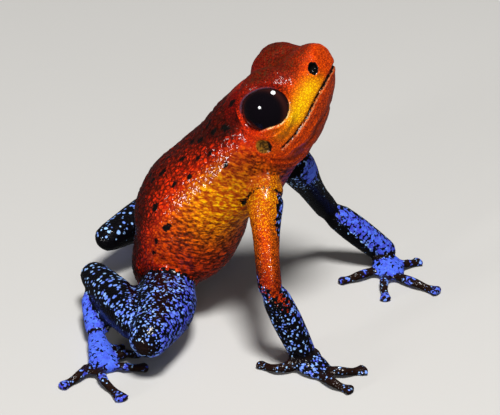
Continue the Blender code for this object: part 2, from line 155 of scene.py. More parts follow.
# Finest grain of the skin, on the back, the belly and the head: how wide the grains are, and how much longer
BACK_GRAIN = (0.22, 1.8)
BELLY_GRAIN = (0.20, 2.4)
FINE_GRAIN = (0.13, 1.4)

# How near to the lids' edge, nostrils, tympanums and mouth the skin gets finer faces, in millimetres
FINER = {"lids": 0.36, "nostril": 0.16, "tympanum": 0.25, "mouth": 0.28}
# How far inside the eyeball the skin is sunk, as a share of its depth, and how far out the lids reach
UNDER_EYE = 0.78
LID_REACH = 0.80
LID_ROLL = 0.14
LID_FOLD = 0.34
LID_FOLD_DEPTH = 0.035
CORNEA_RISE = 0.03
BROW_SOFTNESS = 0.16

MOUTH_HALF_WIDTH = 0.06
MOUTH_CUT = 0.12
MOUTH_LINE = 0.062
LIP_PLACE = 0.20
LIP_RISE = 0.03
# Height of the rims round nostrils and tympanums, how deep both are sunk, and the throat's folds
RIM_RISE = 0.05
NOSTRIL_DEPTH = 0.20
TYMPANUM_DEPTH = 0.07
THROAT_FOLD = 0.62
THROAT_RISE = 0.055

# How far an arm's inner side must face inwards to be blue, and how much of each part's skin is blue
INNER_EDGE = {"right": (0.20, 0.90), "left": (-0.35, -0.35)}
FOREARM_BLUE = {"right": (0.32, 0.46), "left": (0.06, 0.68)}
HAND_BLUE = {"right": 0.42, "left": 0.78}
SHANK_BLUE = (0.24, 0.46)
THIGH_BLUE = (0.36, 0.52)
TARSUS_BLUE = 0.74
FOOT_BLUE = 0.78
NEAR_ARM_BLUE = 0.42

# Colours of the warm skin from the belly to the back, darker on the belly and at the top of the back as
# painted shade, and of the blue from sparse spots to solid, its palest stops lightened as painted highlights
# on the dots
WARM_STOPS = (
    (0.0, "#982600"), (0.28, "#9E2A00"), (0.46, "#A43000"), (0.59, "#CA4800"),
    (0.70, "#EA5000"), (0.80, "#E43C00"), (0.90, "#BC2A04"), (1.0, "#480804"),
)
BLUE_STOPS = ((0.18, "#9CC6F8"), (0.40, "#6A8CEE"), (0.56, "#3E42C4"), (0.80, "#5072E8"), (1.0, "#3038C0"))

# What the skin's material reads from the mesh
FIELDS = (
    "warm", "blue", "dots", "brown", "ear", "lid", "pale", "grey", "gold", "sunny", "crown", "tone", "long",
    "groove", "mark", "calm", "fine", "dusk",
)
# Clouds over the skin: the width of their smallest forms in millimetres, and their detail
CLOUDS = {"grain": (0.16, 2.0), "blotch": (1.3, 3.0), "wander": (0.30, 1.0), "worms": (0.26, 0.0)}
# Blue cells: the width of the large and the small ones, in millimetres
CELL_WIDTHS = (0.31, 0.20)
# How far the wander bends the grains and the blue cells, in millimetres
GRAIN_BEND = 0.18
CELL_BEND = 0.054
# Depth of the finest grain and of the film of water over it, in millimetres
GRAIN_DEPTH = 0.030
FILM_DEPTH = 0.024

# Studio, in metres and watts: half the floor's width, the world's tone and strength, and what the lamps face
FLOOR_HALF = 0.6
WORLD_TONE = "#E8EAEC"
WORLD_STRENGTH = 0.07
LAMP_AIM = Vector((0, 0, 0.008))
# Lamps: the way to each, how far off and how wide it is, and its power
LAMPS = {
    "key": ((-0.38, -0.16, 1.0), 0.30, 0.08, 1.25),
    "side": ((-0.83, 0.54, 0.09), 0.30, 0.05, 0.42),
    "fill": ((-1.0, -0.3, 0.5), 0.40, 0.20, 0.16),
}

rng = np.random.default_rng(7)
noise.seed_set(7)


def smooth_step(low, high, values):
    share = np.clip((values - low) / (high - low), 0, 1)
    return share * share * (3 - 2 * share)


def bump(distance, width):
    """1 at no distance, falling smoothly to nothing a few widths away."""
    return np.exp(-((distance / width) ** 2))


def head_axes():
    """The head's own forward, up and left, as directions."""
    pitch = math.radians(HEAD_PITCH)
    up = Vector((0, math.sin(pitch), math.cos(pitch)))
    turn = Matrix.Rotation(-math.radians(HEAD_YAW), 3, up)
    forward = turn @ Vector((0, -math.cos(pitch), math.sin(pitch)))
    return forward, up, turn @ Vector((1, 0, 0))


def in_head(points):
    """How far ahead, up and left of the head's origin points lie."""
    axes = np.array(head_axes())
    return (points - np.array(HEAD_ORIGIN)) @ axes.T


class Surface:
    """A mesh's points, normals and edges as arrays, to shape and to paint it with."""

    def __init__(self, mesh):
        self.mesh = mesh
        self.read()

    def read(self):
        count = len(self.mesh.vertices)
        points = np.empty(count * 3, np.float32)
        self.mesh.vertices.foreach_get("co", points)
        self.points = points.reshape(-1, 3).astype(float)
        normals = np.empty(count * 3, np.float32)
        self.mesh.vertices.foreach_get("normal", normals)
        self.normals = normals.reshape(-1, 3).astype(float)
        edges = np.empty(len(self.mesh.edges) * 2, np.int32)
        self.mesh.edges.foreach_get("vertices", edges)
        self.edges = edges.reshape(-1, 2)
        self.links = np.maximum(np.bincount(edges, minlength=count), 1)

    def write(self):
        self.mesh.vertices.foreach_set("co", self.points.astype(np.float32).ravel())
        self.mesh.update()
        self.read()

    def move(self, distance):
        """Moves each point along its normal."""
        self.points += self.normals * np.reshape(distance, (-1, 1))
        self.write()

    def mean_of_neighbours(self, values):
        columns = values.reshape(len(values), -1)
        first, second = self.edges.T
        count = len(values)
        sums = [
            np.bincount(first, column[second], count) + np.bincount(second, column[first], count)
            for column in columns.T
        ]
        return (np.array(sums).T / self.links[:, None]).reshape(values.shape)

    def spread(self, values, rounds):
        """Values blurred along the surface."""
        for _ in range(rounds):
            values = (values + self.mean_of_neighbours(values)) / 2
        return values

    def relax(self, rounds):
        """Takes out the grid's steps without shrinking the form."""
        for _ in range(rounds):
            for strength in (0.5, -0.52):
                self.points += strength * (self.mean_of_neighbours(self.points) - self.points)
        self.write()

    def paint(self, name, values):
        """Keeps values on the mesh for its material to read."""
        layer = self.mesh.attributes.new(name, "FLOAT", "POINT")
        layer.data.foreach_set("value", np.asarray(values, np.float32))


def applied(obj, name, kind, **settings):
    """Adds a modifier, applies it and returns the new mesh."""
    modifier = obj.modifiers.new(name, kind)
    for key, value in settings.items():
        setattr(modifier, key, value)
    evaluated = obj.evaluated_get(bpy.context.evaluated_depsgraph_get())
    mesh = bpy.data.meshes.new_from_object(evaluated)
    obj.modifiers.clear()
    obj.data = mesh
    return mesh


def solid_copy(bm, name, growth):
    """Adds one solid to a bmesh in millimetres, merged and grown."""
    part = bmesh.new()
    part.from_mesh(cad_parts[name].data)
    bmesh.ops.scale(part, vec=(1 / MM,) * 3, verts=part.verts)
    bmesh.ops.remove_doubles(part, verts=part.verts, dist=SOLID_WELD)
    part.normal_update()
    for vert in part.verts:
        vert.co += vert.normal * growth
    mesh = bpy.data.meshes.new(name)
    part.to_mesh(mesh)
    part.free()
    bm.from_mesh(mesh)
    bpy.data.meshes.remove(mesh)


def joined_forms():
    """All the solids as one closed object in millimetres, the gaps between them closed."""
    bm = bmesh.new()
    for name in NODES:
        solid_copy(bm, name, GROWTH)
    mesh = bpy.data.meshes.new("skin")
    bm.to_mesh(mesh)
    bm.free()
    obj = bpy.data.objects.new("skin", mesh)
    bpy.context.scene.collection.objects.link(obj)
    applied(obj, "grid", "REMESH", mode="VOXEL", voxel_size=GRID, adaptivity=0.0)
    largest_body(obj.data)
    surface = Surface(obj.data)
    surface.relax(JOIN_ROUNDS)
    surface.move(-GROWTH)
    surface.relax(JOIN_ROUNDS)
    return obj


def largest_body(mesh):
    """Drops what lies inside the skin, such as the walls of a gap that closed."""
    bm = bmesh.new()
    bm.from_mesh(mesh)
    left = set(bm.faces)
    bodies = []
    while left:
        body, edge = set(), [left.pop()]
        while edge:
            face = edge.pop()
            body.add(face)
            near = {f for e in face.edges for f in e.link_faces} & left
            left -= near
            edge.extend(near)
        bodies.append(body)
    bodies.sort(key=len)
    bmesh.ops.delete(bm, geom=[f for body in bodies[:-1] for f in body], context="FACES")
    bm.to_mesh(mesh)
    bm.free()


def nodes_at(points):
    """The number of the solid that lies nearest to each point, counted through the frame's names."""
    bm = bmesh.new()
    owners = []
    for number, name in enumerate(NODES):
        bm.from_mesh(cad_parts[name].data)
        owners += [number] * (len(bm.faces) - len(owners))
    bmesh.ops.scale(bm, vec=(1 / MM,) * 3, verts=bm.verts)
    tree = BVHTree.FromBMesh(bm)
    bm.free()
    return np.array([owners[tree.find_nearest(Vector(p))[2]] for p in points])


def is_part(numbers, *stems):
    """Which points lie on parts whose names start with one of the stems."""
    wanted = [k for k, name in enumerate(NODES) if name.startswith(stems)]
    return np.isin(numbers, wanted)


def thin_limbs(obj):
    """Leaves fewer faces on the limbs, whose skin is smoother, than on head and trunk."""
    numbers = nodes_at(Surface(obj.data).points)
    group = obj.vertex_groups.new(name="limbs")
    limbs = np.flatnonzero(~is_part(numbers, "torso", "head", "eye"))
    group.add([int(k) for k in limbs], 1.0, "REPLACE")
    share = 1 - (1 - LIMB_SHARE) * len(limbs) / len(numbers)
    applied(obj, "thin", "DECIMATE", ratio=share, vertex_group="limbs", vertex_group_factor=1000.0)
    obj.vertex_groups.clear()


def eye_frame(sign):
    """The eye's middle in millimetres, and its axes as rows: ahead, up and out."""
    low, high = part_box(EYES[0] if sign < 0 else EYES[1])
    forward, up, left = head_axes()
    out = (forward * EYE_AXIS[0] + up * EYE_AXIS[1] + left * EYE_AXIS[2] * sign).normalized()
    above = (up - out * up.dot(out)).normalized()
    ahead = above.cross(out) * sign
    if ahead.dot(forward) < 0:
        ahead = -ahead
    return np.array((low + high) / 2) / MM, np.array((ahead, above, out))


def lid_place(points, sign):
    """Places round an eye: millimetres outside the lids' edge, height along the eye's axis, and turn."""
    middle, axes = eye_frame(sign)
    ahead, above, height = ((points - middle) @ axes.T).T
    turn = np.arctan2(above, ahead)
    return np.hypot(ahead, above) - lid_opening(turn), height, turn


def lid_opening(turn):
    """The opening's radius towards a side of the eye."""
    corner = np.exp((np.cos(turn - LID_CORNER) - 1) / 0.16)
    return LID_OPENING * (1 + LID_OVAL * np.cos(2 * (turn - LID_TILT)) - LID_CUT * corner)


def eye_height(radius):
    """The eyeball's height above its middle, at a distance from its axis."""
    return EYE_DEPTH * np.sqrt(np.clip(1 - (radius / EYE_RADIUS) ** 2, 0, 1))


def mouth_place(points):
    """How far below the mouth line points lie, and how far along it, both in millimetres."""
    ahead, up, left = in_head(points).T
    line = np.array(MOUTH)
    best = np.full(len(points), 1e9)
    below = np.zeros(len(points))
    along = np.zeros(len(points))
    run = 0.0
    for start, end in zip(line, line[1:]):
        way = end - start
        length = np.linalg.norm(way)
        way = way / length
        offset = np.stack([ahead, up], 1) - start
        share = np.clip(offset @ way, 0, length)
        gap = offset - share[:, None] * way
        distance = np.linalg.norm(gap, axis=1)
        nearer = distance < best
        best[nearer] = distance[nearer]
        side = np.sign(gap[:, 0] * way[1] - gap[:, 1] * way[0])
        below[nearer] = (distance * -side)[nearer]
        along[nearer] = (run + share)[nearer]
        run += length
    return below, along, best


def spot(place, sign):
    """A place of the head's frame on one side, in millimetres."""
    ahead, up, out = place
    forward, above, left = head_axes()
    return np.array(HEAD_ORIGIN + forward * ahead + above * up + left * (out * sign))


def spot_distance(points, place, sign):
    """Distance of points from a place of the head on one side, in millimetres."""
    return np.linalg.norm(points - spot(place, sign), axis=1)


def nostril_distance(points, sign):
    """Distance from a nostril's middle, counted shorter along the nostril, in millimetres."""
    forward, up, _ = head_axes()
    way = np.array(forward * NOSTRIL_WAY[0] + up * NOSTRIL_WAY[1])
    offset = points - spot(NOSTRIL, sign)
    return np.sqrt((offset**2).sum(1) - (1 - NOSTRIL_LENGTH**-2) * (offset @ way) ** 2)


def refine_face(obj, numbers):
    """Splits the faces round the eyes, the mouth, the nostrils and the tympanums into finer ones."""
    points = Surface(obj.data).points
    near = np.zeros(len(points), bool)
    for _, sign in SIDES:
        edge, height, _ = lid_place(points, sign)
        near |= (np.abs(edge) < FINER["lids"]) & (height > 0)
        near |= nostril_distance(points, sign) < NOSTRIL_SIZE + FINER["nostril"]
        near |= np.abs(spot_distance(points, TYMPANUM, sign) - TYMPANUM_SIZE) < FINER["tympanum"]
    near |= mouth_place(points)[2] < FINER["mouth"]
    near &= is_part(numbers, "head", "eye")
    bm = bmesh.new()
    bm.from_mesh(obj.data)
    bm.verts.ensure_lookup_table()
    marked = [face for face in bm.faces if all(near[v.index] for v in face.verts)]
    edges = list({edge for face in marked for edge in face.edges})
    bmesh.ops.subdivide_edges(bm, edges=edges, cuts=1, use_grid_fill=True, smooth=0.0)
    bm.to_mesh(obj.data)
    bm.free()


def raise_brows(surface, head):
    """Rounds the skin over each eye to a low dome that stands above the crown's edge."""
    before = surface.points.copy()
    for _, sign in SIDES:
        eye, axes = eye_frame(sign)
        middle = eye + np.array(BROW_MIDDLE) @ axes
        local = (surface.points - middle) @ axes.T / BROW_SIZES
        length = np.linalg.norm(local, axis=1)
        raised = (length + 1 + np.sqrt((length - 1) ** 2 + BROW_SOFTNESS**2)) / 2
        near = head & (length < 1.4) & (length > 0.2)
        share = np.where(near, raised / np.maximum(length, 1e-6), 1.0)
        surface.points = middle + (local * share[:, None] * BROW_SIZES) @ axes
    surface.points = before + surface.spread(surface.points - before, 8)
    surface.write()


def facing(normals, way):
    """How far normals turn towards a direction, from -1 to 1."""
    way = np.array(way, float)
    return normals @ (way / np.linalg.norm(way))


def open_lids(surface, head):
    """Sinks the skin inside the lids' opening under the eyeball, and lays the lids' edge over it."""
    for _, sign in SIDES:
        edge, height, turn = lid_place(surface.points, sign)
        _, axes = eye_frame(sign)
        rim = eye_height(lid_opening(turn)) + LID_THICKNESS
        sunk = UNDER_EYE * eye_height(edge + lid_opening(turn))
        wanted = sunk + (rim - sunk) * smooth_step(-0.09, 0.0, edge)
        reach = LID_REACH * (0.8 + 0.2 * np.sin(turn - LID_TILT))
        share = (1 - smooth_step(0.08, reach, edge)) * smooth_step(-0.35, 0.15, height)
        share[~head] = 0
        surface.points += ((wanted - height) * share)[:, None] * axes[2]
        surface.write()
        near = head & (edge < 1.2) & (height > -0.6)
        lower = smooth_step(0.1, 0.9, -np.sin(turn - LID_TILT))
        fold = bump(edge - LID_ROLL, 0.10) - bump(edge - LID_FOLD, 0.08)
        surface.move(near * lower * LID_FOLD_DEPTH * fold)


def carve_face(surface, head):
    """Cuts the mouth, the nostrils and the tympanums, and lays folds under the jaw."""
    distance = mouth_place(surface.points)[2]
    lips = LIP_RISE * bump(distance - LIP_PLACE, 0.12)
    surface.move(head * (lips - MOUTH_CUT * bump(distance, MOUTH_HALF_WIDTH)))
    for _, sign in SIDES:
        pit = nostril_distance(surface.points, sign)
        rim = RIM_RISE * bump(pit - NOSTRIL_SIZE - 0.06, 0.12)
        surface.move(head * (rim - NOSTRIL_DEPTH * (1 - smooth_step(0.06, NOSTRIL_SIZE, pit))))
        drum = spot_distance(surface.points, TYMPANUM, sign)
        ring = RIM_RISE * bump(drum - TYMPANUM_SIZE - 0.08, 0.12)
        surface.move(head * (ring - TYMPANUM_DEPTH * (1 - smooth_step(0.30, TYMPANUM_SIZE, drum))))
    surface.move(THROAT_RISE * head * throat_folds(surface.points))


def throat_folds(points):
    """Folds that run along the jaw under the mouth, 1 on top and -1 in the creases."""
    below, along, _ = mouth_place(points)
    wander = np.array([noise.noise(Vector(p) * 0.9) for p in points])
    ripple = np.sin(2 * math.pi * (below / THROAT_FOLD + 0.6 * wander))
    window = smooth_step(0.4, 0.7, below) * (1 - smooth_step(2.2, 3.4, below))
    return ripple * window * smooth_step(2.0, 4.6, along)


def set_shoulders(surface, numbers):
    """Swells the top of each arm and the forearm's front, and sets the arm off from the trunk by a crease."""
    trunk = is_part(numbers, "torso")
    upper = is_part(numbers, "upper_arm")
    for side in ELBOWS:
        near = bump(np.linalg.norm(surface.points - np.array(SHOULDERS[side]), axis=1), 1.5)
        surface.move(SHOULDER_SWELL * near * surface.spread(upper.astype(float), 3))
        front = smooth_step(-0.2, 0.8, facing(surface.normals, (0.0, -1.0, 0.0)))
        elbow = bump(np.linalg.norm(surface.points - np.array(ELBOWS[side]), axis=1), 1.4)
        fore = surface.spread(is_part(numbers, "forearm_" + side).astype(float), 3)
        surface.move(FOREARM_SWELL * front * np.maximum(fore, elbow))
        beyond, _, near = crease_place(surface.points, side)
        surface.move(-CREASE_DEPTH * near * (trunk | upper) * bump(beyond, CREASE_WIDTH))


def crease_place(points, side):
    """How far past the shoulder's crease and how far ahead points lie, and 1 where the crease can be."""
    way = (ELBOWS[side] - SHOULDERS[side]).normalized()
    offset = points - np.array(SHOULDERS[side])
    along = offset @ np.array(way)
    aside = np.linalg.norm(offset - along[:, None] * np.array(way), axis=1)
    ahead = -offset[:, 1] / ARM_RADIUS
    centre = CREASE_AT[side] + CREASE_DROP * np.minimum(ahead**2, 1.5)
    return along - centre, ahead, (1 - smooth_step(1.35, 1.9, aside)) * (np.abs(along) < 3)


def granule_cells(points, way, size):
    """Height of granules that are longer along one way, 0 in the grooves between them and 1 on top."""
    spacing, _, stretch = size
    aside = np.cross(way, (1.0, 0.0, 0.0))
    places = np.stack([points[:, 0], points @ way / stretch, points @ aside], 1) / spacing
    wander = 0.35
    heights = np.empty(len(points))
    for k, place in enumerate(places):
        here = Vector(place)
        near = noise.voronoi(here + wander * noise.noise_vector(here * 1.3))[0]
        heights[k] = near[1] - near[0]
    return smooth_step(0.0, 0.42, heights)


def grow_granules(surface, fields):
    """Raises the granules of the skin, and returns their height from 0 to 1 for the colour."""
    back = fields["long"]
    long_cells = granule_cells(surface.points, TRUNK_WAY, BACK_GRANULE)
    wide_cells = granule_cells(surface.points, WRINKLE_WAY, BELLY_GRANULE)
    height = BACK_GRANULE[1] * back * (long_cells - 0.6)
    height = height + BELLY_GRANULE[1] * (1 - back) * (wide_cells - 0.6)
    surface.move(fields["coarse"] * height)
    return long_cells * back + wide_cells * (1 - back)


def picture_ray(column, row):
    """Where the photo's camera stands, and the way from it through a pixel."""
    eye, right, up, forward = camera_axes()
    focal = PIXELS_PER_MM * CAMERA_DISTANCE
    way = forward + right * ((column - PICTURE[0] / 2) / focal) + up * ((PICTURE[1] / 2 - row) / focal)
    return eye, way.normalized()


def camera_axes():
    """The photo's camera in millimetres: its place, and its right, up and forward."""
    turn = math.radians(CAMERA_AZIMUTH)
    tilt = math.radians(CAMERA_ELEVATION)
    right = Vector((math.cos(turn), math.sin(turn), 0))
    away = Vector((-math.sin(turn), math.cos(turn), 0))
    forward = away * math.cos(tilt) - Vector((0, 0, 1)) * math.sin(tilt)
    up = away * math.sin(tilt) + Vector((0, 0, 1)) * math.cos(tilt)
    column, row = GROUND_PIXEL
    aim = GROUND_POINT + right * ((PICTURE[0] / 2 - column) / PIXELS_PER_MM)
    aim += up * ((row - PICTURE[1] / 2) / PIXELS_PER_MM)
    return aim - forward * CAMERA_DISTANCE, right, up, forward


def fleck_marks(surface, trunk):
    """How deep points lie inside the black flecks, in millimetres, below zero outside."""
    depth = np.full(len(surface.points), -1.0)
    places = []
    tree = BVHTree.FromPolygons(
        [Vector(p) for p in surface.points], [tuple(f.vertices) for f in surface.mesh.polygons]
    )
    for column, row, radius in FLECKS:
        hit = tree.ray_cast(*picture_ray(column, row))[0]
        if hit is not None:
            places.append((hit, radius))
    back = facing(surface.normals, BACK_WAY)
    far = np.flatnonzero(trunk & (back > 0.25) & (surface.points[:, 0] > -0.4))
    for k in rng.choice(far, FAR_FLECKS, replace=False):
        places.append((Vector(surface.points[k]), rng.uniform(*FAR_FLECK_RADIUS)))
    for place, radius in places:
        offset = surface.points - np.array(place)
        turn = Matrix.Rotation(rng.uniform(-FLECK_TILT, FLECK_TILT), 3, FLECK_AXIS)
        lengthwise = (offset @ np.array(turn @ Vector(TRUNK_WAY))) ** 2
        distance = np.sqrt((offset**2).sum(1) - (1 - FLECK_LENGTH**-2) * lengthwise)
        depth = np.maximum(depth, radius - distance)
    return depth


def head_painted_shade(surface, head):
    """Depth inside the black lines and pits of the head, in millimetres, below zero outside: painted shade in
    the mouth's slit, the nostrils' pits, the sunk front and lower edge of each tympanum and the skin sunk
    under each eye.
    """
    points = surface.points
    _, along, distance = mouth_place(points)
    # painted shade along the mouth's slit
    depth = MOUTH_LINE + 0.03 * (1 - smooth_step(1.0, 2.8, along)) - distance
    for _, sign in SIDES:
        # painted shade in the nostril's pit
        depth = np.maximum(depth, 2.5 * (NOSTRIL_SIZE + 0.01 - nostril_distance(points, sign)))
        drum = spot_distance(points, TYMPANUM, sign)
        place = in_head(points)
        # painted shade: a dark crescent at the front and lower edge of the sunk tympanum
        turn = (place[:, 0] - TYMPANUM[0]) * 0.75 - (place[:, 1] - TYMPANUM[1]) * 0.66
        crescent = np.minimum(TYMPANUM_SIZE - drum, turn - 0.26)
        depth = np.maximum(depth, crescent)
        edge, height, _ = lid_place(points, sign)
        # painted shade on the skin sunk inside the lids' opening, under the eyeball
        inside = np.where(height > -0.4, -edge - 0.03, -1.0)
        depth = np.maximum(depth, inside)
    return np.where(head, depth, -1.0)


def part_fields(surface, numbers):
    """Masks and places over the skin, each from 0 to 1, for its relief and its colours."""
    points, normals = surface.points, surface.normals
    smooth_normals = surface.spread(normals, 10)
    smooth_normals /= np.maximum(np.linalg.norm(smooth_normals, axis=1), 1e-9)[:, None]
    head = is_part(numbers, "head", "eye")
    trunk, upper, fore, hand, thigh, shank, tarsus, foot = (
        is_part(numbers, stem)
        for stem in ("torso", "upper_arm", "forearm", "hand", "thigh", "shank", "tarsus", "foot")
    )
    z = points[:, 2]
    warm = (trunk | head | upper).astype(float)
    blue = np.zeros(len(points))
    digit = is_part(numbers, "finger", "toe").astype(float)
    brown = digit.copy()
    dots = np.zeros(len(points))
    creases = np.full(len(points), -1.0)
    rings = np.zeros(len(points))
    for side, sign in SIDES:
        here = np.array([NODES[k].endswith(side) for k in numbers])
        arm = here & (upper | fore)
        inner = facing(smooth_normals, (-sign * 0.75, -0.66, 0.0))
        elbow = ELBOWS[side].z
        shoulder = SHOULDERS[side]
        top_edge, low_edge = INNER_EDGE[side]
        limit = top_edge + (low_edge - top_edge) * smooth_step(shoulder.z - 0.8, shoulder.z - 2.6, z)
        limit = np.where(z > elbow, limit, top_edge)
        cold = smooth_step(limit - 0.1, limit + 0.1, inner)
        lower = smooth_step(elbow + 0.7, elbow - 1.9, z - 1.1 * facing(smooth_normals, (0, 1, 0)))
        warm[arm] = ((1 - cold) * (1 - lower))[arm]
        beyond, ahead, near = crease_place(points, side)
        warm[here & upper & (beyond < 0)] = 1.0
        # A black line along the crease over each arm: the arm's own black edge and painted shade in the
        # crease
        width = 0.06 + 0.06 * smooth_step(0.0, 0.6, ahead) + 0.10 * smooth_step(0.6, 1.0, -ahead)
        line = np.where((trunk | upper) & (near > 0.5), width - np.abs(beyond), -1.0)
        creases = np.maximum(creases, line)
        inside = smooth_step(0.0, 0.5, inner)
        outside_blue, inside_blue = FOREARM_BLUE[side]
        shaded = smooth_step(0.25, 0.65, facing(smooth_normals, (-sign * 0.46, 0.63, -0.62)))
        blue[arm] = (outside_blue + (inside_blue - outside_blue) * inside * (1 - shaded))[arm]
        above = here & upper
        patch = bump(np.linalg.norm(points - ARM_PATCH, axis=1), ARM_PATCH_RADIUS)
        blue[above] = NEAR_ARM_BLUE if side == "right" else 0.04 + 0.9 * patch[above]
        blue[here & hand] = HAND_BLUE[side]
        rings = np.maximum(rings, seam(surface, here & fore, here & hand))
        knee = np.linalg.norm(points - np.array(KNEES[side]), axis=1)
        ankle = np.linalg.norm(points - np.array(ANKLES[side]), axis=1)
        share = ankle / (ankle + knee)
        blue[here & shank] = (SHANK_BLUE[0] + (SHANK_BLUE[1] - SHANK_BLUE[0]) * share)[here & shank]
        dots[here & shank] = (1 - smooth_step(0.45, 0.75, share))[here & shank]
        front = smooth_step(0.1, 0.85, facing(smooth_normals, (0, -1, -0.1)))
        blue[here & thigh] = (THIGH_BLUE[0] + (THIGH_BLUE[1] - THIGH_BLUE[0]) * front)[here & thigh]
        tip = (shank | thigh) & here
        # Painted shade: the blue of the shank fades to black on its side that faces down
        below = smooth_step(0.0, 0.50, facing(smooth_normals, (0, 0, 1)))
        blue[here & shank] *= below[here & shank]
        ending = facing(smooth_normals, (sign, 0.15, -0.15))
        ending = 0.8 * smooth_step(0.74, 1.0, ending) * (1 - smooth_step(1.6, 2.6, knee))
        brown[tip] = ending[tip]
        blue[tip] *= 1 - ending[tip]
    blue[tarsus] = TARSUS_BLUE
    blue[foot] = FOOT_BLUE
    rings = np.maximum(rings, 0.9 * seam(surface, tarsus, foot))
    brown = np.maximum(brown, rings)
    along = digit_places(points, numbers)
    patches = bump(along - 0.34, 0.10) + 0.7 * smooth_step(0.66, 0.78, along)
    on_right = np.array([NODES[k].endswith("right") for k in numbers])
    near_hand = on_right & is_part(numbers, "finger")
    blue[digit > 0] = ((0.06 + 0.62 * patches) * (1 - 0.45 * near_hand))[digit > 0]
    near_lid = np.zeros(len(points))
    pale = np.zeros(len(points))
    grey = np.zeros(len(points))
    for _, sign in SIDES:
        edge, height, turn = lid_place(points, sign)
        upper_side = smooth_step(-0.1, 0.6, np.sin(turn - LID_TILT))
        near = head & (height > -1.2)
        near_lid = np.maximum(near_lid, near * (1 - smooth_step(0.8, 2.2, edge)) * upper_side)
        rim = bump(edge - 0.02, 0.05) * near
        pale = np.maximum(pale, rim * smooth_step(0.35, 0.85, np.cos(turn + math.radians(85))))
        grey = np.maximum(grey, rim * smooth_step(0.2, 0.8, np.cos(turn - math.radians(80))))
    below, length, distance = mouth_place(points)
    place = in_head(points)
    gold = head * bump(-below - 0.62, 0.56) * (below < 0) * smooth_step(0.9, 2.1, length)
    gold *= 1 - 0.7 * smooth_step(3.7, 4.8, length) - 0.3 * smooth_step(5.2, 6.6, length)
    gold *= smooth_step(0.5, 1.4, np.abs(place[:, 2]))
    pale = np.maximum(pale, head * 0.45 * bump(below - 0.11, 0.04) * smooth_step(0.0, 1.0, length))
    crown = head * smooth_step(0.20, 0.85, facing(smooth_normals, BACK_WAY))
    crown = crown * smooth_step(1.5, 3.6, place[:, 0])
    drum = np.min([spot_distance(points, TYMPANUM, sign) for _, sign in SIDES], axis=0)
    ear = head * (1 - smooth_step(TYMPANUM_SIZE - 0.1, TYMPANUM_SIZE + 0.02, drum))
    coarse = surface.spread(1.0 * trunk + 0.45 * head + 0.4 * upper + 0.2 * fore, 6)
    coarse *= 1 - 0.8 * near_lid
    coarse *= 1 - 0.7 * smooth_step(4.0, 6.5, place[:, 0]) * head
    coarse *= smooth_step(0.1, 0.35, distance) * head + (1 - head)
    for _, sign in SIDES:
        edge, height, _ = lid_place(points, sign)
        coarse *= np.where(head & (height > -0.6), smooth_step(0.1, 0.5, edge), 1.0)
    both_sides = np.column_stack((np.abs(points[:, 0]), points[:, 1:]))
    flank, nape, side_neck = (
        np.linalg.norm(both_sides - middle, axis=1) for middle in (FLANK_GOLD_AND_HIGHLIGHT, NAPE, SIDE_NECK)
    )
    back = surface.spread(facing(smooth_normals, BACK_WAY), 12)
    tone = 0.5 + back / 2
    tone = np.where(head, 0.61 + 0.21 * np.clip(back, -0.15, 1), tone)
    # Painted shade: the back of the trunk turns a darker red lower down, towards the hips
    tone = tone + 0.14 * trunk * smooth_step(11.0, 7.0, z) * smooth_step(0.62, 0.80, tone)
    tone = tone + 0.29 * bump(nape, NAPE_RADIUS)
    # Gold of the flanks and shoulders, partly their own colour and partly a painted highlight
    sunny = (trunk | upper) * bump(flank, FLANK_GOLD_AND_HIGHLIGHT_RADIUS) * (1 - smooth_step(0.66, 0.80, tone))
    # Darkening: painted shade low on the trunk towards the hips, and darker patches on the lower part of each
    # upper arm and on the neck's sides
    dusk = np.zeros(len(points))
    for side in ELBOWS:
        near_shoulder = bump(np.linalg.norm(points - np.array(SHOULDERS[side]), axis=1), 2.0)
        sunny = np.maximum(sunny, upper * near_shoulder)
        above_elbow = smooth_step(ELBOWS[side].z + 0.5, ELBOWS[side].z + 3.0, z)
        sunny = np.maximum(sunny, 0.18 * upper * above_elbow)
        dusk = np.maximum(dusk, (numbers == NODES.index("upper_arm_" + side)) * (1 - above_elbow))
    tone = tone + 0.13 * upper * (1 - sunny)
    side_neck = bump(side_neck, SIDE_NECK_RADIUS)
    tone = tone + 0.05 * side_neck
    dusk = np.maximum(dusk, side_neck)
    dusk = np.maximum(dusk, 0.7 * trunk * smooth_step(8.6, 6.2, z) * smooth_step(0.5, 0.75, tone))
    return {
        "warm": surface.spread(warm, 3),
        "blue": surface.spread(blue, 3) * (1 - np.clip(1.6 * surface.spread(rings, 1), 0, 1)),
        "dots": surface.spread(dots, 3),
        "brown": np.maximum(surface.spread(brown, 3), ear),
        "ear": ear,
        "lid": surface.spread(near_lid, 3),
        "pale": pale,
        "grey": grey,
        "gold": surface.spread(gold, 4),
        "sunny": surface.spread(sunny, 6),
        "crown": surface.spread(crown, 6),
        "tone": surface.spread(tone, 4),
        "long": smooth_step(0.05, 0.55, back),
        "coarse": coarse,
        "crease": creases,
        "trunk": trunk.astype(float),
        "calm": surface.spread(0.85 * head, 8),
        "fine": surface.spread(0.85 * head + 0.85 * upper + 0.85 * fore, 8),
        "dusk": surface.spread(dusk, 6),
    }


def seam(surface, first, second):
    """1 where two parts meet, falling to nothing a little way to either side."""
    first = surface.spread(first.astype(float), 4)
    second = surface.spread(second.astype(float), 4)
    return smooth_step(0.22, 0.42, np.minimum(first, second))


def digit_places(points, numbers):
    """How far along its finger or toe each point lies, from 0 at the palm or sole to 1 at the tip."""
    along = np.zeros(len(points))
    for k, name in enumerate(NODES):
        if not name.startswith(("finger", "toe")):
            continue
        palm = ("hand_" if name.startswith("finger") else "foot_") + name.split("_")[2]
        low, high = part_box(palm)
        middle = np.array((low + high) / 2) / MM
        mine = numbers == k
        distance = np.linalg.norm(points[mine] - middle, axis=1)
        along[mine] = (distance - distance.min()) / (distance.max() - distance.min())
    return along


